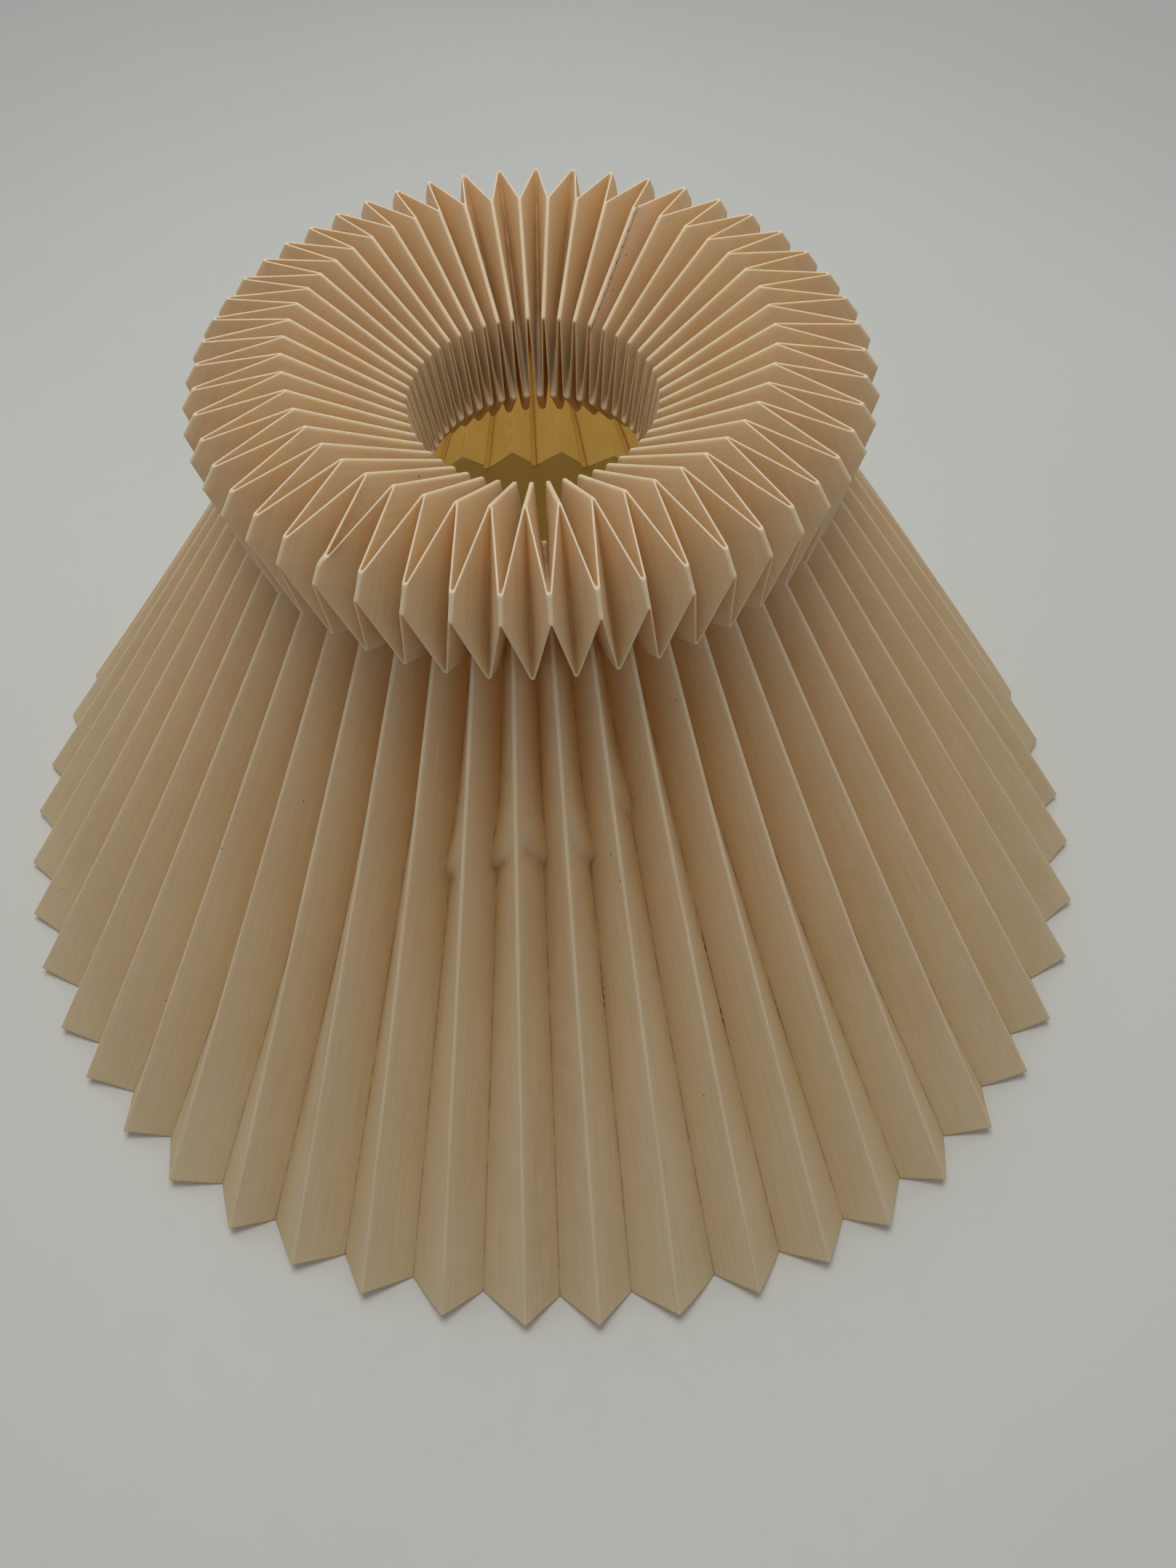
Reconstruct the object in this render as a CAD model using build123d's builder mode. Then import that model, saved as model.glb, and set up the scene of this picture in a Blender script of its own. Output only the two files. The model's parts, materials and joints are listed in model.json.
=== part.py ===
from build123d import *
from math import asin, atan2, cos, degrees, hypot, radians, sin
import os

# Pleated collar lampshade, folded from one rectangular sheet of coated paper.
# Millimetres. +Z is up, the shade stands on the z = 0 plane and its axis is the Z axis.
# Angles are in degrees about +Z, counted from the front (-Y) towards the right (+X).
#
# Every long fold lies in an upright plane through the axis. "Outer" folds are the ridges of the
# skirt, "inner" folds are its valleys; at each cross crease ridges and valleys change places.
# A ring is where a cross crease or a cut edge meets the folds:
# ((radius, height) on the outer folds, (radius, height) on the inner folds).

PLEATS = 51
SHEET = 0.4  # thickness of the coated paper
HEM = ((200.0, 4.1), (190.6, 0.0))
NECK = ((69.6, 183.8), (66.7, 160.8))
COLLAR_FOOT = ((89.3, 197.2), (84.3, 172.8))
COLLAR_CREST = ((85.1, 202.6), (62.4, 207.2))
HOLE_RIM = ((30.2, 164.3), (33.6, 188.1))
INNER_EDGE = ((41.0, 151.3), (54.8, 162.4))

# The pleats are bunched more on the left and stand more open at the back, by the seam.
SEAM_ANGLE = 149.1
DRIFT_ONCE, DRIFT_ONCE_PHASE = 3.46, 101.2
DRIFT_TWICE, DRIFT_TWICE_PHASE = -1.86, 107.0

HINGE_RELIEF = 3.2  # the skirt stops this far short of the neck crease, so that it can swing
FOLD_RELIEF = 1.8  # the same within the collar, where the sheet doubles back on itself
RIM_RELIEF = 4.6  # the same below the rim of the hole, where the pleats are tightest

STITCH_PITCH = 4.6
STITCH_LENGTH = 3.5
THREAD = 0.5
SEAM_MARGIN = 3.0  # from a fold or an edge to the first stitch


def around(nominal):
    """The real angle of a fold that even spacing would put at this angle."""
    once = DRIFT_ONCE * sin(radians(nominal - DRIFT_ONCE_PHASE))
    twice = DRIFT_TWICE * sin(radians(2 * nominal - DRIFT_TWICE_PHASE))
    return nominal + once + twice


def outer_angle(pleat):
    """The angle of a pleat's outer fold. Pleat 0 starts at the seam."""
    return around(SEAM_ANGLE + 360 / PLEATS * (pleat + 0.5))


def inner_angle(pleat):
    """The angle of the inner fold where a pleat starts."""
    return around(SEAM_ANGLE + 360 / PLEATS * pleat)


def radial(angle):
    return Vector(sin(radians(angle)), -cos(radians(angle)), 0)


def tangent(angle):
    return Vector(cos(radians(angle)), sin(radians(angle)), 0)


def spot(angle, point):
    """A (radius, height) pair placed at an angle."""
    radius, height = point
    return radial(angle) * radius + Vector(0, 0, height)


def along(start, end, distance):
    """The point that far from start, on the way to end, both (radius, height)."""
    length = hypot(end[0] - start[0], end[1] - start[1])
    share = distance / length
    return tuple(a + (b - a) * share for a, b in zip(start, end))


def trimmed(ring, towards, distance):
    """The ring moved that far along both of its folds, towards another ring."""
    return tuple(along(a, b, distance) for a, b in zip(ring, towards))


def pleat_section(pleat, ring):
    """The plane of a ring across one pleat, and the outline of the folded sheet in it."""
    angle = outer_angle(pleat)
    left = inner_angle(pleat) - angle
    right = inner_angle(pleat + 1) - angle
    (outer_radius, outer_height), (inner_radius, inner_height) = ring
    chord_radius = inner_radius * cos(radians((right - left) / 2))
    rise = (radial(angle) * (outer_radius - chord_radius)
            + Vector(0, 0, outer_height - inner_height))
    side = tangent(angle)
    plane = Plane(origin=spot(angle, (chord_radius, inner_height)), x_dir=side,
                  z_dir=side.cross(rise.normalized()))
    depth = rise.length
    half = SHEET / 2
    outline = []
    for reach, sense in ((inner_radius * sin(radians(right)), 1), (inner_radius * sin(radians(-left)), -1)):
        slant = hypot(reach, depth)
        crown = half * (slant - reach) / depth
        edge = [(sense * crown, depth + half),
                (sense * (reach - half), depth * SHEET / reach),
                (sense * (reach - half), 0)]
        outline += edge if sense > 0 else [(0, depth - half * slant / reach)] + edge[::-1]
    return plane, outline


def pleat_between(pleat, start, end):
    """One pleat of the sheet, from ring to ring, inside the current BuildPart."""
    sections = []
    for ring in (start, end):
        plane, outline = pleat_section(pleat, ring)
        with BuildSketch(plane) as section:
            with BuildLine():
                Polyline(*outline, close=True)
            make_face()
        sections.append(section.sketch.face())
    loft(sections, ruled=True)


def stitches(angle, start, end, inset):
    """Stitches along an inner fold, on its crest, from one ring to the next."""
    fold_start, fold_end = start[1], end[1]
    run = spot(angle, fold_end) - spot(angle, fold_start)
    crest = spot(angle, start[1]) - spot(angle, start[0])
    across = run.normalized()
    outward = (crest - across * crest.dot(across)).normalized()
    count = int((run.length - 2 * inset) / STITCH_PITCH)
    for number in range(count):
        distance = inset + STITCH_PITCH * (number + 0.5)
        middle = spot(angle, along(fold_start, fold_end, distance)) + outward * (THREAD / 2 + 0.1)
        with Locations(Plane(origin=middle, x_dir=across, z_dir=outward)):
            Box(STITCH_LENGTH, THREAD, THREAD)


def finish(part, name):
    part.label = name
    export_step(part, f"parts/{name}.step")


os.makedirs("parts", exist_ok=True)

# The skirt: one node for each pleat, because each swings out from the neck on its own hinge line.
skirt_top = trimmed(NECK, HEM, HINGE_RELIEF)
for pleat in range(PLEATS):
    with BuildPart() as skirt_pleat:
        pleat_between(pleat, HEM, skirt_top)
    finish(skirt_pleat.part, f"skirt_pleat_{pleat + 1:02d}")

# The collar: four strips of the same sheet, turned out, up, in and down again.
with BuildPart() as collar_underside:
    for pleat in range(PLEATS):
        pleat_between(pleat, NECK, trimmed(COLLAR_FOOT, NECK, FOLD_RELIEF))
finish(collar_underside.part, "collar_underside")

with BuildPart() as collar_band:
    for pleat in range(PLEATS):
        pleat_between(pleat, COLLAR_FOOT, COLLAR_CREST)
finish(collar_band.part, "collar_band")

with BuildPart() as collar_top:
    for pleat in range(PLEATS):
        pleat_between(pleat, trimmed(COLLAR_CREST, HOLE_RIM, FOLD_RELIEF), HOLE_RIM)
finish(collar_top.part, "collar_top")

with BuildPart() as collar_inner_wall:
    for pleat in range(PLEATS):
        pleat_between(pleat, trimmed(HOLE_RIM, INNER_EDGE, RIM_RELIEF), INNER_EDGE)
finish(collar_inner_wall.part, "collar_inner_wall")

# The seam that closes the sheet into a ring: one run of machine stitches along an inner fold.
seam = inner_angle(0)
with BuildPart() as seam_thread_collar:
    for start, end in ((NECK, COLLAR_FOOT), (COLLAR_FOOT, COLLAR_CREST),
                       (COLLAR_CREST, HOLE_RIM), (HOLE_RIM, INNER_EDGE)):
        stitches(seam, start, end, SEAM_MARGIN)
finish(seam_thread_collar.part, "seam_thread_collar")

# On the skirt the thread goes with the first pleat, just on that pleat's side of the fold.
skirt_seam = seam + degrees(asin(THREAD / NECK[1][0]))
with BuildPart() as seam_thread_skirt:
    stitches(skirt_seam, HEM, skirt_top, 2 * SEAM_MARGIN)
finish(seam_thread_skirt.part, "seam_thread_skirt")
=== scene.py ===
import json
import math

import bpy
import numpy as np
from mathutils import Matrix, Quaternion, Vector


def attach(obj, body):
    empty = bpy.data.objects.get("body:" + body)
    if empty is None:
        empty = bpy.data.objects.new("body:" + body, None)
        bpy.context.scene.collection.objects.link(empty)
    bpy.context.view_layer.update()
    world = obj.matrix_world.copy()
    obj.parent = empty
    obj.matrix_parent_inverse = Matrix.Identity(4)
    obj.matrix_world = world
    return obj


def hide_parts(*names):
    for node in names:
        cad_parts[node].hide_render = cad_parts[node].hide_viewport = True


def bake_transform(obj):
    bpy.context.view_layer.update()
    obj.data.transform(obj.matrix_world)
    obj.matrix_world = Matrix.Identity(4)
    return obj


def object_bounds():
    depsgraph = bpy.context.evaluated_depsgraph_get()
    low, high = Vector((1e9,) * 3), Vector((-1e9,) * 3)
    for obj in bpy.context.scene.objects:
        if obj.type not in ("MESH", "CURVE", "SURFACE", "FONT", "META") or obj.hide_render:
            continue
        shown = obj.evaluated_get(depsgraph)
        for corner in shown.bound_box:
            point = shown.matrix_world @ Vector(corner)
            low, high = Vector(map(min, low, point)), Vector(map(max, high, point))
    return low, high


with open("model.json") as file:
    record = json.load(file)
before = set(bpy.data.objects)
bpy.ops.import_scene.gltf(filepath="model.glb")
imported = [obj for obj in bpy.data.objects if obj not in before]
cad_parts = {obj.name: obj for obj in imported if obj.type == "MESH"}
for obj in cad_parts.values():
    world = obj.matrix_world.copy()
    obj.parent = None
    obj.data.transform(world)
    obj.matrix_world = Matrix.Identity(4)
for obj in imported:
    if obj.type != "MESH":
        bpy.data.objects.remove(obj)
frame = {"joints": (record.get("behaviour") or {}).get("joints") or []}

# Pleated collar lampshade, folded from one sheet of aged coated paper. Metres, +Z up, on z = 0.
# Angles are about +Z, from the front (-Y) towards the right (+X).
#
# Outer folds are the ridges of the skirt and inner folds are its valleys. Rows run round the
# shade, from the hem to the cut edge inside the hole. Columns run along the sheet.

CAD_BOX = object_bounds()
MM = 0.001
RNG = np.random.default_rng(51)

# Rings, in millimetres: (radius, height) on the outer folds, then on the inner folds.
HEM = ((200.0, 4.3), (190.6, 0.35))
NECK = ((69.6, 183.8), (66.7, 160.8))
COLLAR_FOOT = ((89.3, 197.2), (84.3, 172.8))
COLLAR_CREST = ((85.1, 202.6), (62.4, 207.0))
HOLE_RIM = ((30.2, 164.3), (33.6, 188.1))
INNER_EDGE = ((41.0, 151.3), (54.8, 162.4))
RINGS = (HEM, NECK, COLLAR_FOOT, COLLAR_CREST, HOLE_RIM, INNER_EDGE)
STRIPS = len(RINGS) - 1
DESIGN_HEIGHT = 0.2072  # the CAD model's height, in metres, when the rings were measured
FOLD_FLARE = 1.6  # a rounding grows late along its strip

SHEET = 0.4 * MM
# The rounding of the long folds, at each ring, to the middle of the sheet: outer, then inner.
FOLD_RADII = np.array(((0.33, 0.45), (0.33, 0.38), (0.36, 0.36), (0.5, 0.32), (0.95, 0.42),
                       (0.95, 0.6))) * MM
CREASE_REACH = 0.42 * MM  # how far a cross crease is rounded, along each fold
SUPPORT = 0.24 * MM  # from the end of a rounding to the first flat loop
# Where the rows of each strip lie, from 0 to 1, between its rounded creases.
CLOSE = (0.0025, 0.014, 0.02, 0.008, 0.02)
SPREAD = (np.concatenate((np.linspace(0, 0.66, 19), np.linspace(0.68, 0.82, 15),
                          np.linspace(0.85, 1, 7))),
          np.linspace(0, 1, 6), np.linspace(0, 1, 7), np.linspace(0, 1, 15), np.linspace(0, 1, 6))
# How far each strip's long crests are painted pale, as wear and highlight; its cross creases are
# all painted pale.
CREST_WEAR_AND_HIGHLIGHT = (0.2, 0.34, 0.22, 0.5, 0.5)
UNDARKENED_ABOVE = 6  # the rows above the rim of the hole that get no painted crease shade either
BETWEEN = 2  # flat columns in each panel, between the two next to its folds

LAP_REST = 0.8 * MM  # the tuck behind each valley: its width at the neck, and the extra at the hem
LAP_HEM = 2.1 * MM
LAP_DEPTH = 0.52 * MM
LAP_LOWEST = 0.3 * MM  # keeps the tucks off the table
HEM_ASIDE, HEM_OVAL = -0.0306, (-0.0037, 0.0234)  # shares of the hem's radius
PLEAT_SWAY = math.radians(0.22)  # how unevenly the folds stand round the hem
BACK_SETTLED = 0.93  # how far the ridges have sunk to the table at the back, of their rise

THROUGH = 0.55  # the share of light that each face of the sheet passes on
TISSUE_THROUGH = 0.97  # the same for the laps
THROUGH_TINT = (1.0, 0.83, 0.58, 1)  # tuned so that the inside looks as golden as in the photo
BOUNCES = 20  # light goes from panel to panel many times in a pleat this deep


# ---------------------------------------------------------------------------------- the camera

def camera():
    data = bpy.data.cameras.new("camera")
    data.sensor_fit = "VERTICAL"
    data.sensor_height = 36
    data.lens = 26.6
    data.clip_start = 0.01
    obj = bpy.data.objects.new("camera", data)
    bpy.context.collection.objects.link(obj)
    obj.location = (0.0111, -0.2571, 0.3871)
    pitch, roll = math.radians(90 - 56.36), math.radians(-1.95)
    obj.rotation_mode = "QUATERNION"
    obj.rotation_quaternion = (Quaternion((1, 0, 0), pitch) @ Quaternion((0, 0, 1), roll))
    bpy.context.scene.camera = obj


camera()


# ------------------------------------------------------------------------------- the fold lines

def unit(v):
    return v / np.linalg.norm(v, axis=-1, keepdims=True)


def dot(a, b):
    return np.sum(a * b, axis=-1, keepdims=True)


joints = sorted(frame["joints"], key=lambda joint: joint["name"])
PLEATS = len(joints)
outer_angle = np.unwrap([math.atan2(j["pos_m"][0], -j["pos_m"][1]) for j in joints])
inner_angle = (outer_angle + np.roll(outer_angle, 1)) / 2
inner_angle[0] = (outer_angle[0] + outer_angle[-1]) / 2 - math.pi
SCALE = (CAD_BOX[1][2] - CAD_BOX[0][2]) / DESIGN_HEIGHT


def shares(strip):
    """Where a strip's rows lie, from 0 to 1, with one close to each end."""
    close = CLOSE[strip]
    return np.concatenate(([0], close + SPREAD[strip] * (1 - 2 * close), [1]))


def crease_row(strips):
    """The first row of the rounding at the end of that many strips."""
    return sum(len(shares(n)) + 2 for n in range(strips)) - 2


def fold_path(which):
    """(radius, height) of a fold line at every row, with its corners rounded."""
    points = [np.array(ring[which]) * MM * SCALE for ring in RINGS]
    path, radii, crest_wear_and_highlight = [], [], []
    for n in range(STRIPS):
        a, b = points[n], points[n + 1]
        way = unit(b - a)
        start = a if n == 0 else a + way * CREASE_REACH
        end = b if n == STRIPS - 1 else b - way * CREASE_REACH
        rounding = FOLD_RADII[n][which], FOLD_RADII[n + 1][which]
        for share in shares(n):
            path.append(start + (end - start) * share)
            radii.append(rounding[0] + (rounding[1] - rounding[0]) * share ** FOLD_FLARE)
            crest_wear_and_highlight.append(CREST_WEAR_AND_HIGHLIGHT[n])
        if n < STRIPS - 1:
            after = b + unit(points[n + 2] - b) * CREASE_REACH
            for t in (1 / 3, 2 / 3):
                path.append(end * (1 - t) ** 2 + b * 2 * t * (1 - t) + after * t ** 2)
                radii.append(rounding[1])
                crest_wear_and_highlight.append((CREST_WEAR_AND_HIGHLIGHT[n] + CREST_WEAR_AND_HIGHLIGHT[n + 1]) / 2)
    return np.array(path), np.array(radii)[:, None, None], np.array(crest_wear_and_highlight)


outer_path, outer_round, crest_wear_and_highlight = fold_path(0)
inner_path, inner_round, _ = fold_path(1)
ROWS = len(outer_path)
NECK_ROW = len(shares(0)) - 1  # the last row of the skirt before the neck crease rounds over
SKIRT, COLLAR = slice(0, NECK_ROW + 1), slice(NECK_ROW, ROWS)
down = np.zeros(ROWS)  # 1 at the hem, 0 at the neck and beyond
down[SKIRT] = ((inner_path[NECK_ROW, 1] - inner_path[SKIRT, 1])
               / (inner_path[NECK_ROW, 1] - inner_path[0, 1]))


def hem_factor(angle):
    """The hem has been squeezed a little out of round."""
    return (1 + HEM_ASIDE * np.sin(angle) + HEM_OVAL[0] * np.cos(2 * angle)
            + HEM_OVAL[1] * np.sin(2 * angle))


def fold_points(angles, path, sway):
    """Every fold of one kind, at every row."""
    radius = path[:, :1] * (1 + down[:, None] * (hem_factor(angles)[None] - 1))
    angle = angles[None] + sway[None] * down[:, None]
    settled = path[0, 1] * BACK_SETTLED * (1 - np.cos(angles)) / 2
    height = path[:, 1:] - settled[None] * down[:, None] ** 2
    return np.stack((radius * np.sin(angle), -radius * np.cos(angle), height), axis=-1)


U = fold_points(outer_angle, outer_path, RNG.normal(0, PLEAT_SWAY, PLEATS))
V = fold_points(inner_angle, inner_path, RNG.normal(0, PLEAT_SWAY, PLEATS))

# Knocks that have pushed the front valleys outward, half way down the upper skirt:
# (inner fold, how far down the skirt, push outward, push sideways).
KNOCKS = ((28, 0.300, 2.0, -0.9), (29, 0.275, 2.2, -1.1), (30, 0.266, 2.0, 0.9),
          (31, 0.268, 2.2, 0.9), (32, 0.212, 1.6, 0.8))
KNOCK_ABOVE, KNOCK_BELOW = 0.055, 0.011  # how far one reaches, in shares of the skirt
SKIRT_FACE = (0.81, 0.59)  # out and up, square to the skirt
for fold, low, push, aside in KNOCKS:
    off = down[SKIRT] - low
    swell = np.exp(-(off / np.where(off < 0, KNOCK_ABOVE, KNOCK_BELOW)) ** 2)[:, None] * MM
    angle = inner_angle[fold]
    out = np.array((math.sin(angle) * SKIRT_FACE[0], -math.cos(angle) * SKIRT_FACE[0],
                    SKIRT_FACE[1]))
    side = np.array((math.cos(angle), math.sin(angle), 0))
    V[SKIRT, fold] += swell * (out * push + side * aside)

# One tip of the crest has been bent over.
BENT_TIP, BENT_REACH = 25, 1.3 * MM
BENT_ASIDE, BENT_IN = 0.8 * MM, 0.9 * MM
tip_row = np.argmin(np.linalg.norm(outer_path - np.array(COLLAR_CREST[0]) * MM, axis=1))
from_tip = np.linalg.norm(U[:, BENT_TIP] - U[tip_row, BENT_TIP], axis=1)[:, None]
tip_angle = outer_angle[BENT_TIP]
tip_side = np.array((math.cos(tip_angle), math.sin(tip_angle), 0))
tip_out = np.array((math.sin(tip_angle), -math.cos(tip_angle), 0.6))
U[:, BENT_TIP] += (np.exp(-(from_tip / BENT_REACH) ** 2)
                   * (tip_side * BENT_ASIDE - tip_out * BENT_IN))


# ---------------------------------------------------------------------- the sheet through them

def corner(point, left, right, radius):
    """A fold's bisector, into its wedge, and the centre of its rounding."""
    into = unit(unit(left - point) + unit(right - point))
    return into, point + into * radius


U_into, U_centre = corner(U, V, np.roll(V, -1, axis=1), outer_round)
V_into, V_centre = corner(V, np.roll(U, 1, axis=1), U, inner_round)


def leaving(centre, into, other):
    """The direction from a fold's centre to where a panel leaves its rounding."""
    gap = other - centre
    length = np.linalg.norm(gap, axis=-1, keepdims=True)
    along = gap / length
    away = unit(-(into - along * dot(into, along)))
    lean = (outer_round + inner_round) / length
    return along * lean + away * np.sqrt(1 - lean ** 2)


def between(a, b, share):
    angle = np.arccos(np.clip(dot(a, b), -1, 1))
    return (a * np.sin(angle * (1 - share)) + b * np.sin(angle * share)) / np.sin(angle)


def panel(fold_a, fold_b):
    """The columns of one panel, from just after fold a to just before fold b.
    A fold is its centres, its bisectors and its radii."""
    (centre_a, into_a, radius_a), (centre_b, into_b, radius_b) = fold_a, fold_b
    leave_a = leaving(centre_a, into_a, centre_b)
    leave_b = leaving(centre_b, into_b, centre_a)
    start, end = centre_a + leave_a * radius_a, centre_b + leave_b * radius_b
    length = np.linalg.norm(end - start, axis=-1, keepdims=True)
    way = (end - start) / length
    face = unit(np.cross(way[1:], np.diff(start, axis=0)))
    face = np.concatenate((face, face[-1:]))
    bow = face * bowing(length)
    columns = [centre_a + between(-into_a, leave_a, 0.5) * radius_a, start,
               start + way * SUPPORT]
    for n in range(BETWEEN):
        columns.append(start + (end - start) * (n + 1) / (BETWEEN + 1) + bow)
    columns += [end - way * SUPPORT, end,
                centre_b + between(-into_b, leave_b, 0.5) * radius_b]
    return columns


def bowing(length):
    """How far the middle of each panel has warped out of its plane, slowly changing along it."""
    reach = np.linspace(0, 1, ROWS)[:, None]
    warp = np.zeros((ROWS, PLEATS))
    for waves in (1.5, 4, 9):
        phase = RNG.uniform(0, 2 * math.pi, PLEATS)
        warp += RNG.normal(0, 0.6, PLEATS) * np.sin(2 * math.pi * waves * reach + phase) / waves
    warp *= (crest_wear_and_highlight[:, None] != CREST_WEAR_AND_HIGHLIGHT[-1]) * 0.02
    edge = np.ones(ROWS)
    for ring in RINGS[1:]:
        near = np.linalg.norm(outer_path - np.array(ring[0]) * MM * SCALE, axis=1)
        edge *= 1 - np.exp(-(near / (4 * MM)) ** 2)
    tight = np.clip((np.linalg.norm(U[:, :1, :2], axis=-1) - 45 * MM) / (30 * MM), 0, 1)
    return (warp * edge[:, None] * tight)[..., None] * length


outer_fold = U_centre, U_into, outer_round
inner_fold = V_centre, V_into, inner_round
next_inner = np.roll(V_centre, -1, axis=1), np.roll(V_into, -1, axis=1), inner_round
left_panel = panel(inner_fold, outer_fold)
right_panel = panel(outer_fold, next_inner)
per_pleat = [V] + left_panel + [U] + right_panel
WIDE = len(per_pleat)
middle = np.stack(per_pleat, axis=2).reshape(ROWS, PLEATS * WIDE, 3)

# How far along and round the flat sheet every point lies, for patterns that follow the paper.
step_round = np.linalg.norm(np.roll(middle, -1, axis=1) - middle, axis=-1)
flat_round = np.cumsum(step_round[0]) - step_round[0]
step_along = np.linalg.norm(np.diff(middle, axis=0), axis=-1)
flat_along = np.concatenate((np.zeros((1, middle.shape[1])), np.cumsum(step_along, axis=0)))

before = unit(middle - np.roll(middle, 1, axis=1))
after = unit(np.roll(middle, -1, axis=1) - middle)
rows_before = unit(np.concatenate((middle[1:2] - middle[:1], np.diff(middle, axis=0))))
rows_after = unit(np.concatenate((np.diff(middle, axis=0), middle[-1:] - middle[-2:-1])))
normal = unit(np.cross(before + after, rows_before + rows_after))
bend_round, bend_along = after - before, rows_after - rows_before

# At the rim of the hole the sheet is folded back on itself, so the fold faces the axis.
RIM_ROW = crease_row(4)
RIM_LEAN = 0.55  # how far the rows next to the rounding face the axis too
towards_axis = unit(middle[RIM_ROW:RIM_ROW + 2].mean(axis=0) * np.array((-1, -1, 0)))
normal[RIM_ROW:RIM_ROW + 2] = towards_axis
for row, beyond in ((RIM_ROW - 1, RIM_ROW - 3), (RIM_ROW + 2, RIM_ROW + 4)):
    normal[row] = unit(normal[beyond] * (1 - RIM_LEAN) + towards_axis * RIM_LEAN)

# How deep in its pleat a point lies, on the outward face: 0 on the crest, 1 in the hollow.
column_share = np.concatenate(([1], np.linspace(1, 0, len(left_panel) + 2)[1:-1], [0],
                               np.linspace(0, 1, len(right_panel) + 2)[1:-1]))
outer_is_crest = dot(U_into, normal[:, len(left_panel) + 1::WIDE])[..., 0] < 0
from_outer = np.tile(column_share, PLEATS)[None] * np.ones((ROWS, 1))
# How far each column shares in the paling of a long crest, painted as wear and highlight: the fold
# itself most of all.
tip_share = np.full(WIDE, 0.25)
for tip in (0, len(left_panel) + 1):
    tip_share[[tip - 1, tip + 1]] = 0.55
    tip_share[tip] = 1
tips = np.tile(tip_share, PLEATS)[None] * np.ones((ROWS, 1))
creased = np.zeros((ROWS, 1))  # 1 on the rows of the cross creases
for strips in range(1, STRIPS):
    creased[crease_row(strips) - 1:crease_row(strips) + 3] = 1
crease_darkened = np.ones((ROWS, 1))  # 1 where the creases are painted darker, as shade with dust; 0 in the hole, where they are not and the pleat depth shade is weaker
crease_darkened[RIM_ROW - UNDARKENED_ABOVE:] = 0
folded_flat = np.zeros((ROWS, 1))  # how pale the flat fold at the rim is painted, as wear and highlight
folded_flat[RIM_ROW - 1:RIM_ROW + 3, 0] = (0.3, 0.5, 0.5, 0.3)
depth = np.where(np.repeat(outer_is_crest, WIDE, axis=1), from_outer, 1 - from_outer)


def lap_columns(pleat):
    """The tuck that each pleat keeps behind the valley it shares with the next one."""
    column = ((pleat + 1) * WIDE) % (PLEATS * WIDE)
    fold, out = middle[:, column], normal[:, column]
    side = unit(np.cross(rows_before[:, column] + rows_after[:, column], out))
    if np.sum(side * (middle[:, (column + 2) % (PLEATS * WIDE)] - fold)) < 0:
        side = -side
    width = LAP_REST + LAP_HEM * down[:, None]
    laps = [fold - out * LAP_DEPTH * s + side * w
            for s, w in ((0.75, 0.3 * MM), (1, width * 0.5), (1, width))]
    for lap in laps:
        lap[:, 2] = np.maximum(lap[:, 2], LAP_LOWEST)
    return laps


# ------------------------------------------------------------------------------------ materials

def material(name):
    mat = bpy.data.materials.new(name)
    mat.use_nodes = True
    mat.node_tree.nodes.clear()
    return mat


class Nodes:
    """A short way to write a node tree."""

    def __init__(self, mat):
        self.tree = mat.node_tree

    def add(self, kind, **settings):
        node = self.tree.nodes.new(kind)
        for name, value in settings.items():
            setattr(node, name, value)
        return node

    def link(self, out, socket):
        self.tree.links.new(out, socket)

    def put(self, value, socket):
        if isinstance(value, bpy.types.NodeSocket):
            self.link(value, socket)
        else:
            socket.default_value = value

    def attribute(self, name):
        return self.add("ShaderNodeAttribute", attribute_name=name).outputs["Fac"]

    def math(self, operation, a, b=0.0, clamp=False):
        node = self.add("ShaderNodeMath", operation=operation, use_clamp=clamp)
        self.put(a, node.inputs[0])
        self.put(b, node.inputs[1])
        return node.outputs[0]

    def ramp(self, value, low, high, to_low=0.0, to_high=1.0):
        node = self.add("ShaderNodeMapRange", interpolation_type="SMOOTHSTEP")
        self.put(value, node.inputs["Value"])
        for socket, number in (("From Min", low), ("From Max", high),
                               ("To Min", to_low), ("To Max", to_high)):
            node.inputs[socket].default_value = number
        return node.outputs["Result"]

    def noise(self, vector, scale, detail=2.0, roughness=0.5):
        node = self.add("ShaderNodeTexNoise")
        self.link(vector, node.inputs["Vector"])
        node.inputs["Scale"].default_value = scale
        node.inputs["Detail"].default_value = detail
        node.inputs["Roughness"].default_value = roughness
        return node.outputs["Fac"]

    def stretched(self, vector, scale):
        node = self.add("ShaderNodeMapping")
        self.link(vector, node.inputs["Vector"])
        node.inputs["Scale"].default_value = scale
        return node.outputs["Vector"]

    def mix(self, share, a, b, blend="MIX"):
        node = self.add("ShaderNodeMix", data_type="RGBA", blend_type=blend)
        self.put(share, node.inputs[0])
        self.put(a, node.inputs[6])
        self.put(b, node.inputs[7])
        return node.outputs[2]

    def bump(self, height, strength, distance):
        node = self.add("ShaderNodeBump")
        self.link(height, node.inputs["Height"])
        node.inputs["Strength"].default_value = strength
        node.inputs["Distance"].default_value = distance
        return node.outputs["Normal"]

    def surface(self, **sockets):
        shader = self.add("ShaderNodeBsdfPrincipled")
        for name, value in sockets.items():
            self.put(value, shader.inputs[name.replace("_", " ")])
        self.output = self.add("ShaderNodeOutputMaterial")
        self.link(shader.outputs[0], self.output.inputs["Surface"])
        return shader


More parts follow.
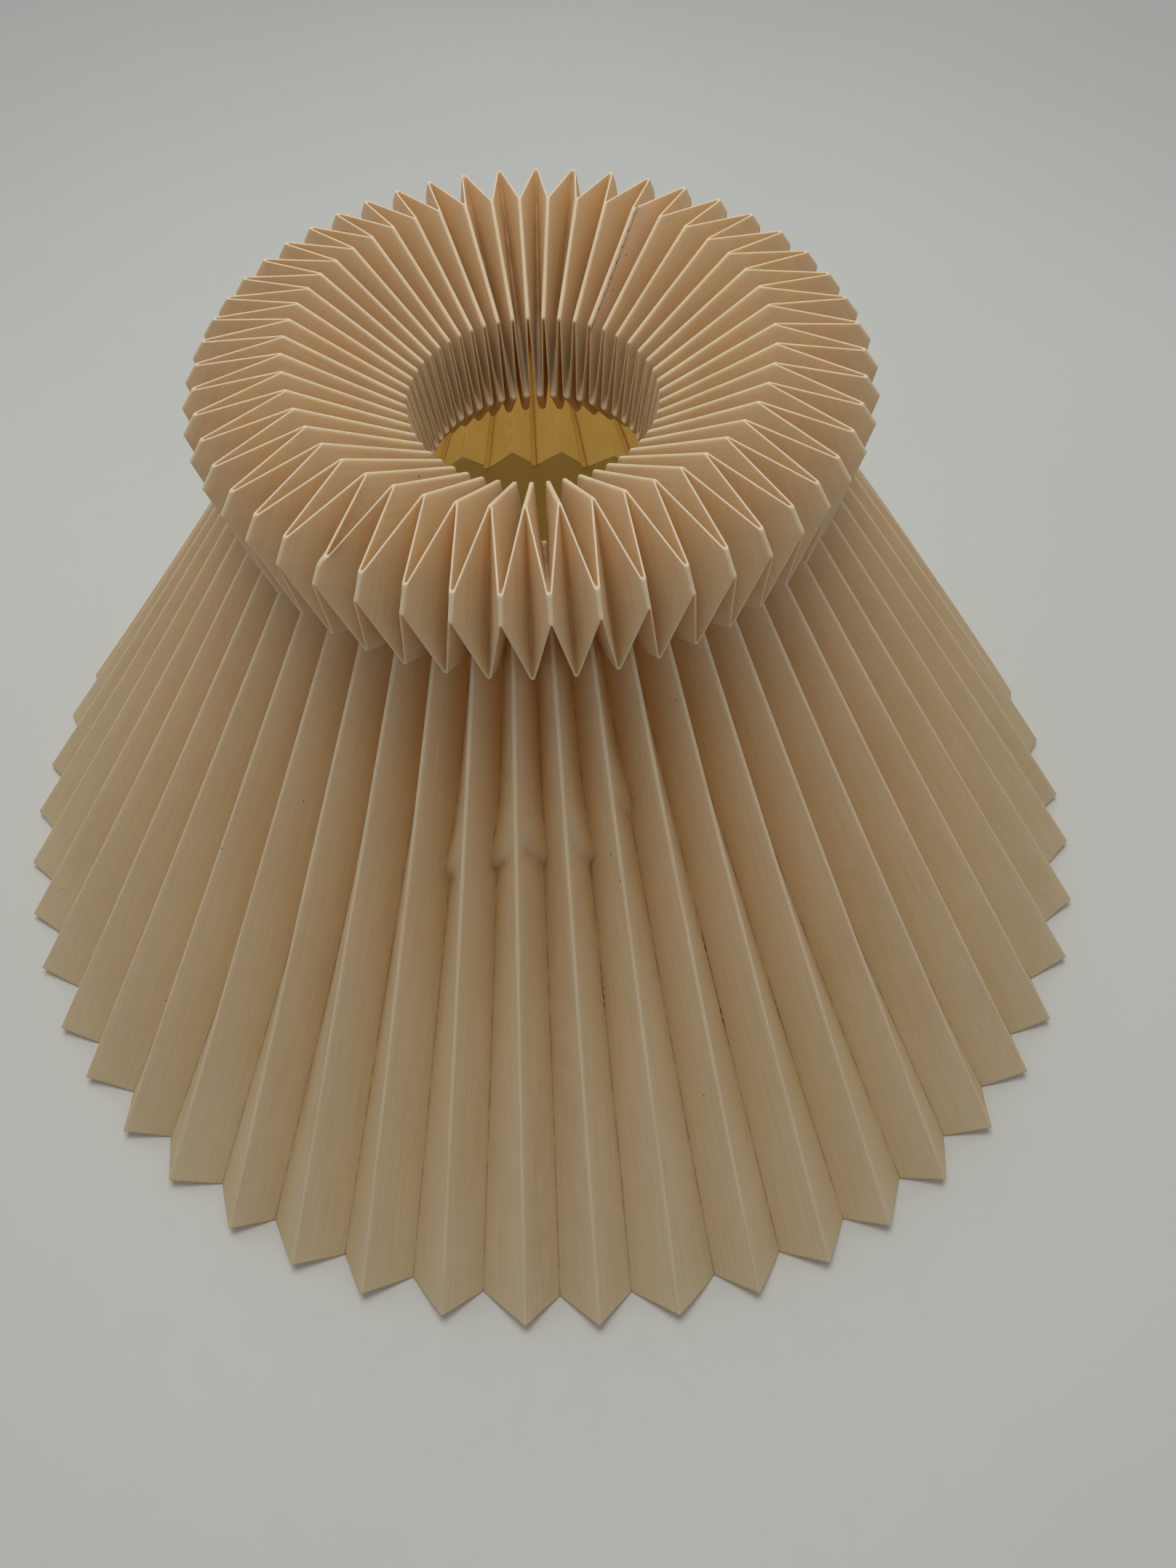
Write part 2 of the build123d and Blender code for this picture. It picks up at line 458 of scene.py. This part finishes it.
def paper_material():
    mat = material("pleated_paper")
    n = Nodes(mat)
    place = n.add("ShaderNodeTexCoord").outputs["Object"]
    flat = n.add("ShaderNodeUVMap", uv_map="sheet").outputs["UV"]

    # Aged coating: broad clouds, streaks along the pleats, and fine grain. Deeper in each pleat
    # the colour is painted darker and warmer: painted shade.
    clouds = n.ramp(n.noise(place, 22, 3), 0.3, 0.7)
    streaks = n.ramp(n.noise(n.stretched(flat, (900, 26, 1)), 1, 2), 0.35, 0.75)
    grain = n.noise(place, 2600, 1)
    # depth paints shade: from the pale crest colour to a darker, warmer colour in the hollow of
    # each pleat
    depth = n.ramp(n.attribute("depth"), 0.1, 1.0)
    high = n.mix(clouds, (0.94, 0.945, 0.78, 1), (0.955, 0.96, 0.82, 1))
    low = n.mix(clouds, (0.935, 0.865, 0.54, 1), (0.95, 0.895, 0.60, 1))
    colour = n.mix(depth, high, low)
    colour = n.mix(n.math("MULTIPLY", streaks, 0.25), colour, (0.86, 0.68, 0.42, 1))
    colour = n.mix(n.ramp(grain, 0.3, 0.7, 0.0, 0.12), colour, (0.62, 0.52, 0.38, 1))

    # Dust and nicotine gather in the folds, and the folds are painted darker as shade too; the
    # crests are painted paler, as wear and as highlight.
    # painted shade with dust: every concave fold darkened brown in patches
    crease_shade_and_dust = n.math("MULTIPLY", n.attribute("crease_shade_and_dust"), n.ramp(n.noise(place, 160, 2), 0.25, 0.7))
    colour = n.mix(n.math("MULTIPLY", crease_shade_and_dust, 0.6), colour, (0.55, 0.38, 0.20, 1))
    # painted shade with dust: the bottom of each valley is darkened in patches
    valley_shade_and_dust = n.math("MULTIPLY", n.ramp(n.attribute("depth"), 0.72, 1.0),
                  n.ramp(n.noise(place, 90, 3), 0.3, 0.7, 0.1, 0.34))
    colour = n.mix(valley_shade_and_dust, colour, (0.66, 0.52, 0.36, 1))
    # crest paints the folds paler: partly wear, partly painted highlight
    crest = n.ramp(n.attribute("crest"), 0.12, 0.9)
    colour = n.mix(n.math("MULTIPLY", crest, 0.9), colour, (0.98, 0.95, 0.85, 1))

    # The seam allowance is scuffed and crumpled.
    crumple = n.noise(place, 900, 3, 0.7)
    scuff = n.math("MULTIPLY", n.attribute("scuff"), n.ramp(crumple, 0.3, 0.6, 0.45, 1.0))
    colour = n.mix(n.math("MULTIPLY", scuff, 0.8), colour, (0.97, 0.94, 0.86, 1))

    # Scattered fly specks and a few dark streaks in the valleys.
    cells = n.add("ShaderNodeTexVoronoi", feature="F1")
    n.link(place, cells.inputs["Vector"])
    cells.inputs["Scale"].default_value = 130
    cells.inputs["Randomness"].default_value = 1.0
    rare = n.math("GREATER_THAN", n.noise(place, 37, 0), 0.62)
    speck = n.math("MULTIPLY", n.ramp(cells.outputs["Distance"], 0.055, 0.035), rare)
    streak = n.math("MULTIPLY", n.attribute("stain"),
                    n.ramp(n.noise(n.stretched(flat, (1500, 500, 1)), 1, 3), 0.42, 0.55))
    dark = n.math("MAXIMUM", n.math("MULTIPLY", speck, 0.55), streak)
    colour = n.mix(dark, colour, (0.10, 0.055, 0.03, 1))

    rough = n.ramp(n.noise(place, 60, 2), 0.3, 0.7, 0.48, 0.62)
    height = n.math("ADD", n.math("MULTIPLY", grain, 0.5), n.noise(place, 500, 2))
    height = n.math("ADD", height, n.math("MULTIPLY", scuff, n.math("MULTIPLY", crumple, 3)))
    normal = n.bump(height, 0.18, 0.0002)
    shader = n.surface(Base_Color=colour, Roughness=rough, Normal=normal)
    shader.inputs["Specular IOR Level"].default_value = 0.35

    # Lamp paper lets some light through.
    glow = n.add("ShaderNodeBsdfTranslucent")
    n.put(n.mix(1.0, colour, THROUGH_TINT, "MULTIPLY"), glow.inputs["Color"])
    both = n.add("ShaderNodeMixShader")
    both.inputs[0].default_value = THROUGH
    n.link(shader.outputs[0], both.inputs[1])
    n.link(glow.outputs[0], both.inputs[2])
    n.link(both.outputs[0], n.output.inputs["Surface"])
    return mat


def tissue_material():
    """The laps behind the valleys: thin paper that lets nearly all the light on."""
    mat = material("lap_tissue")
    n = Nodes(mat)
    place = n.add("ShaderNodeTexCoord").outputs["Object"]
    colour = n.mix(n.noise(place, 300, 2), (0.985, 0.98, 0.965, 1), (0.995, 0.99, 0.98, 1))
    shader = n.surface(Base_Color=colour, Roughness=n.ramp(n.noise(place, 60, 2), 0, 1, 0.5, 0.7))
    glow = n.add("ShaderNodeBsdfTranslucent")
    n.put(colour, glow.inputs["Color"])
    both = n.add("ShaderNodeMixShader")
    both.inputs[0].default_value = TISSUE_THROUGH
    n.link(shader.outputs[0], both.inputs[1])
    n.link(glow.outputs[0], both.inputs[2])
    n.link(both.outputs[0], n.output.inputs["Surface"])
    return mat


def thread_material():
    mat = material("seam_thread")
    n = Nodes(mat)
    place = n.add("ShaderNodeTexCoord").outputs["Object"]
    ply = n.ramp(n.noise(n.stretched(place, (3000, 3000, 1200)), 1, 2), 0.3, 0.7)
    colour = n.mix(ply, (0.20, 0.15, 0.10, 1), (0.40, 0.32, 0.22, 1))
    n.surface(Base_Color=colour, Roughness=n.ramp(ply, 0, 1, 0.7, 0.9),
              Normal=n.bump(ply, 0.4, 0.0001))
    return mat


def table_material():
    mat = material("table_top")
    n = Nodes(mat)
    place = n.add("ShaderNodeTexCoord").outputs["Object"]
    soft = n.ramp(n.noise(place, 3, 2), 0.3, 0.7)
    colour = n.mix(soft, (0.53, 0.535, 0.51, 1), (0.55, 0.555, 0.53, 1))
    n.surface(Base_Color=colour, Roughness=n.ramp(n.noise(place, 90, 2), 0.3, 0.7, 0.5, 0.6))
    return mat


# Painted shade: a near-black colour for the discs that stand in for needle holes, which are not
# cut.
def hole_material():
    mat = material("needle_hole")
    n = Nodes(mat)
    place = n.add("ShaderNodeTexCoord").outputs["Object"]
    colour = n.mix(n.noise(place, 2000, 1), (0.03, 0.02, 0.012, 1), (0.09, 0.06, 0.035, 1))
    n.surface(Base_Color=colour, Roughness=n.ramp(n.noise(place, 2000, 1), 0, 1, 0.8, 0.95))
    return mat


PAPER, TISSUE = paper_material(), tissue_material()
THREAD, HOLE, TABLE = thread_material(), hole_material(), table_material()


# ----------------------------------------------------------------------------------- the pieces

def new_object(name, data, mat):
    obj = bpy.data.objects.new(name, data)
    bpy.context.collection.objects.link(obj)
    obj.data.materials.append(mat)
    return obj


def give(mesh, name, values):
    attribute = mesh.attributes.new(name, "FLOAT", "POINT")
    attribute.data.foreach_set("value", np.asarray(values, np.float32).ravel())


def shell(name, points, normals, marks, uv, closed, laps=0):
    """A sheet of paper round a grid of points. closed joins the last column to the first.
    The last columns may be a lap, which is of thinner paper."""
    rows, columns = points.shape[:2]
    half = SHEET / 2
    vertices = np.concatenate(((points + normals * half).reshape(-1, 3),
                               (points - normals * half).reshape(-1, 3)))
    layer = rows * columns
    spans = columns if closed else columns - 1
    i, j = np.meshgrid(np.arange(rows - 1), np.arange(spans), indexing="ij")
    i, j = i.ravel(), j.ravel()
    k = (j + 1) % columns
    grid = np.stack((i * columns + j, i * columns + k, (i + 1) * columns + k,
                     (i + 1) * columns + j), axis=1)
    grid_uv = np.stack((uv[i, j], uv[i, j + 1], uv[i + 1, j + 1], uv[i + 1, j]), axis=1)
    faces, face_uv = [grid, grid[:, ::-1] + layer], [grid_uv, grid_uv[:, ::-1]]

    def rim(a, b, uv_a, uv_b):
        faces.append(np.stack((a, a + layer, b + layer, b), axis=1))
        face_uv.append(np.stack((uv_a, uv_a, uv_b, uv_b), axis=1))

    j = np.arange(spans)
    k = (j + 1) % columns
    rim(j, k, uv[0, j], uv[0, j + 1])
    last = (rows - 1) * columns
    rim(last + k, last + j, uv[-1, j + 1], uv[-1, j])
    if not closed:
        i = np.arange(rows - 1)
        rim((i + 1) * columns, i * columns, uv[i + 1, 0], uv[i, 0])
        rim(i * columns + columns - 1, (i + 1) * columns + columns - 1,
            uv[i, -1], uv[i + 1, -1])
    faces, face_uv = np.concatenate(faces), np.concatenate(face_uv)

    mesh = bpy.data.meshes.new(name)
    mesh.vertices.add(len(vertices))
    mesh.vertices.foreach_set("co", vertices.astype(np.float32).ravel())
    mesh.loops.add(faces.size)
    mesh.loops.foreach_set("vertex_index", faces.astype(np.int32).ravel())
    mesh.polygons.add(len(faces))
    mesh.polygons.foreach_set("loop_start", np.arange(0, faces.size, 4, dtype=np.int32))
    mesh.update(calc_edges=True)
    mesh.validate()
    mesh.polygons.foreach_set("use_smooth", np.ones(len(faces), bool))
    layer_uv = mesh.uv_layers.new(name="sheet")
    layer_uv.data.foreach_set("uv", face_uv.astype(np.float32).ravel())
    for mark, values in marks.items():
        give(mesh, mark, values)
    obj = new_object(name, mesh, PAPER)
    if laps:
        mesh.materials.append(TISSUE)
        lap = (faces % columns).min(axis=1) >= columns - laps
        mesh.polygons.foreach_set("material_index", lap.astype(np.int32))
    return obj


def marks_of(normals, round_bend, along_bend, deep, tip, worn_and_lit, crease, edge, darkened, stain,
             scuff):
    """How far each side of the sheet is a pale crest, worn and painted as highlight, or a dark
    hollow, painted as shade with dust.
    """
    marks = {"crest": [], "crease_shade_and_dust": [], "depth": [], "stain": [], "scuff": [scuff, scuff]}
    for side in (1, -1):
        long_bend = dot(round_bend, normals)[..., 0] * side / SHARP
        cross_bend = dot(along_bend, normals)[..., 0] * side / SHARP
        crest = np.maximum(np.clip(-long_bend, 0, 1) * worn_and_lit[:, None] * tip,
                           np.clip(-cross_bend, 0, 1) * crease)
        marks["crest"].append(np.maximum(crest, edge * (side > 0)))
        marks["crease_shade_and_dust"].append(np.clip(np.maximum(long_bend, cross_bend), 0, 1) * darkened)
        marks["depth"].append((deep if side > 0 else 1 - deep) * (0.4 + 0.6 * darkened))
        marks["stain"].append(stain if side > 0 else np.zeros_like(stain))
    return {name: np.stack(values) for name, values in marks.items()}


# Dark streaks of dirt in two valleys: (inner fold, from, to), down the skirt.
STREAKS = ((31, 0.455, 0.520), (33, 0.425, 0.480), (33, 0.530, 0.600), (34, 0.585, 0.600))
SHARP = 0.25  # the turn at a vertex that counts as a whole fold
stains = np.zeros(middle.shape[:2])
for fold, top, bottom in STREAKS:
    within = np.clip(1.4 - np.abs(2 * (down - top) / (bottom - top) - 1), 0, 1)
    for column in (-1, 0, 1):
        where = fold * WIDE + column
        stains[:, where] = np.maximum(stains[:, where], within)
# The seam allowance is scuffed pale along the inner fold where the sheet is sewn.
scuffed = np.zeros(middle.shape[:2])
scuffed[NECK_ROW:, -4:] = 1


def hinge_blend(obj, pleat):
    """Bakes the piece's placing into its mesh; the slope of the skirt at this pleat is worked out
    but not used.
    """
    angle = outer_angle[pleat]
    out = np.array((math.sin(angle), -math.cos(angle), 0))
    slope = unit(U[0, pleat] - U[NECK_ROW, pleat])
    slope = unit(out * dot(slope, out)[0] + np.array((0, 0, slope[2])))
    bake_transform(obj)


def skirt_piece(pleat):
    columns = np.arange(pleat * WIDE, (pleat + 1) * WIDE + 1)
    wrapped = columns % (PLEATS * WIDE)
    rows = SKIRT
    laps = [lap[rows] for lap in lap_columns(pleat)]
    points = np.concatenate((middle[rows][:, wrapped], np.stack(laps, axis=1)), axis=1)
    flap = np.repeat(normal[rows][:, wrapped[-1:]], len(laps), axis=1)
    normals = np.concatenate((normal[rows][:, wrapped], flap), axis=1)
    blank = np.zeros_like(flap)

    def with_laps(values, filler):
        return np.concatenate((values[rows][:, wrapped], filler), axis=1)

    marks = marks_of(normals, with_laps(bend_round, blank), with_laps(bend_along, blank),
                     with_laps(depth, blank[..., 0] + 1), with_laps(tips, blank[..., 0]),
                     crest_wear_and_highlight[rows], creased[rows], folded_flat[rows], crease_darkened[rows],
                     with_laps(stains, blank[..., 0]), blank[..., 0][:, :1] * normals[..., 0])
    across = flat_round[wrapped].copy()
    across[columns >= PLEATS * WIDE] += flat_round[-1] + step_round[0, -1]
    across = np.concatenate((across, across[-1] + MM * np.arange(1, len(laps) + 1)))
    along = np.concatenate((flat_along[rows][:, wrapped],
                            np.repeat(flat_along[rows][:, wrapped[-1:]], len(laps), axis=1)),
                           axis=1)
    uv = np.stack((np.broadcast_to(across, along.shape), along), axis=-1)
    obj = shell(f"skirt_pleat_{pleat + 1:02d}_sheet", points, normals, marks, uv, False,
                len(laps))
    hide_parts(f"skirt_pleat_{pleat + 1:02d}")
    hinge_blend(obj, pleat)
    return obj


def collar_piece():
    rows = COLLAR
    marks = marks_of(normal[rows], bend_round[rows], bend_along[rows], depth[rows],
                     tips[rows], crest_wear_and_highlight[rows], creased[rows], folded_flat[rows], crease_darkened[rows],
                     stains[rows], scuffed[rows])
    across = np.concatenate((flat_round, [flat_round[-1] + step_round[0, -1]]))
    along = np.concatenate((flat_along[rows], flat_along[rows, :1]), axis=1)
    uv = np.stack((np.broadcast_to(across, along.shape), along), axis=-1)
    obj = shell("collar_sheet", middle[rows], normal[rows], marks, uv, True)
    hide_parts("collar_underside", "collar_band", "collar_top", "collar_inner_wall")
    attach(obj, "root")
    return obj


for pleat in range(PLEATS):
    skirt_piece(pleat)
collar_piece()


# --------------------------------------------------------------------------------- the stitches

STITCH_PITCH = 4.6 * MM
STITCH_LENGTH = 4.1 * MM
THREAD_RADIUS = 0.17 * MM
NEEDLE_HOLE = 0.36 * MM
SIDES, CUTS = 8, 11


def ring_of(centre, side, up, radius):
    turns = 2 * math.pi * np.arange(SIDES) / SIDES
    return centre + (np.cos(turns)[:, None] * side + np.sin(turns)[:, None] * up) * radius


def stitch_line(name, points, outward, inset):
    """Machine stitches along a line of points. Each rises from its hole, lies flat and dips."""
    steps = np.linalg.norm(np.diff(points, axis=0), axis=1)
    reach = np.concatenate(([0], np.cumsum(steps)))
    vertices, faces, materials = [], [], []

    def at(values, where):
        return np.stack([np.interp(where, reach, values[:, c]) for c in range(3)], axis=1)

    def cap(first, flip, number):
        loop = [first + s for s in range(SIDES)]
        faces.append(tuple(reversed(loop)) if flip else tuple(loop))
        materials.append(number)

    for number in range(int((reach[-1] - 2 * inset) / STITCH_PITCH)):
        middle_at = inset + STITCH_PITCH * (number + 0.5)
        spread = np.linspace(-1, 1, CUTS)
        where = middle_at + spread * STITCH_LENGTH / 2
        line, out = at(points, where), unit(at(outward, where))
        arch = np.sqrt(np.clip(1 - spread ** 8, 0, 1))[:, None]
        line = line + out * (SHEET / 2 + THREAD_RADIUS * (1.9 * arch - 1.1))
        way = unit(np.gradient(line, axis=0))
        side = unit(np.cross(way, out))
        up = np.cross(side, way)
        first = len(vertices)
        for cut in range(CUTS):
            vertices.extend(ring_of(line[cut], side[cut], up[cut], THREAD_RADIUS))
        for cut in range(CUTS - 1):
            for s in range(SIDES):
                a, b = first + cut * SIDES + s, first + cut * SIDES + (s + 1) % SIDES
                faces.append((a, b, b + SIDES, a + SIDES))
                materials.append(0)
        cap(first, True, 0)
        cap(first + (CUTS - 1) * SIDES, False, 0)
        # The needle hole where the stitch ends: a low dark disc on the paper's face, painted as
        # the hole's shade.
        place = at(points, np.array([middle_at + STITCH_PITCH / 2]))[0]
        face = unit(at(outward, np.array([middle_at + STITCH_PITCH / 2])))[0]
        across, along = side[-1], way[CUTS // 2]
        low = len(vertices)
        vertices.extend(ring_of(place + face * SHEET * 0.3, across, along, NEEDLE_HOLE))
        vertices.extend(ring_of(place + face * (SHEET / 2 + 0.03 * MM), across, along,
                                NEEDLE_HOLE * 0.8))
        for s in range(SIDES):
            faces.append((low + s, low + (s + 1) % SIDES, low + SIDES + (s + 1) % SIDES,
                          low + SIDES + s))
            materials.append(1)
        cap(low, True, 1)
        cap(low + SIDES, False, 1)
    mesh = bpy.data.meshes.new(name)
    mesh.from_pydata([tuple(v) for v in vertices], [], faces)
    obj = new_object(name, mesh, THREAD)
    mesh.materials.append(HOLE)
    mesh.polygons.foreach_set("material_index", materials)
    mesh.polygons.foreach_set("use_smooth", [m == 0 for m in materials])
    return obj


def beside(column, towards, distance):
    """A line beside a fold, that far from one column towards another."""
    start = middle[:, column]
    return start + unit(middle[:, towards] - start) * distance


# On the collar the stitches lie on the outward face, and on the skirt on the inward one.
collar_line = beside(-3, -4, 0.55 * MM)
collar_seam = stitch_line("seam_stitches_collar", collar_line[COLLAR], normal[COLLAR, -3],
                          3 * MM)
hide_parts("seam_thread_collar")
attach(collar_seam, "root")
skirt_line = beside(3, 4, 1.2 * MM)
skirt_seam = stitch_line("seam_stitches_skirt", skirt_line[:NECK_ROW], -normal[:NECK_ROW, 3],
                         6 * MM)
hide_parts("seam_thread_skirt")
hinge_blend(skirt_seam, 0)


# ------------------------------------------------------------------------- the table and lights

def table():
    half = 4.0
    mesh = bpy.data.meshes.new("table_top")
    mesh.from_pydata([(-half, -half, 0), (half, -half, 0), (half, half, 0), (-half, half, 0)],
                     [], [(0, 1, 2, 3)])
    new_object("table_top", mesh, TABLE)


def lamp(name, place, aim, size, power, colour):
    data = bpy.data.lights.new(name, "AREA")
    data.shape = "DISK"
    data.size = size
    data.energy = power
    data.color = colour
    obj = bpy.data.objects.new(name, data)
    bpy.context.collection.objects.link(obj)
    obj.location = place
    obj.rotation_euler = (Vector(aim) - Vector(place)).to_track_quat("-Z", "Y").to_euler()


table()
lamp("key", (-0.04, 0.22, 1.0), (0, 0.1, 0.0), 0.75, 6.2, (0.99, 1.0, 0.95))
lamp("fill", (0.9, -1.2, 1.3), (0, 0, 0.1), 1.2, 0.5, (1.0, 0.985, 0.95))

world = bpy.data.worlds.new("room")
world.use_nodes = True
background = world.node_tree.nodes["Background"]
background.inputs["Color"].default_value = (0.96, 0.975, 1.0, 1)
background.inputs["Strength"].default_value = 0.37
bpy.context.scene.world = world
bpy.context.scene.view_settings.view_transform = "Standard"
for kind in ("diffuse_bounces", "transmission_bounces", "max_bounces"):
    setattr(bpy.context.scene.cycles, kind, BOUNCES)
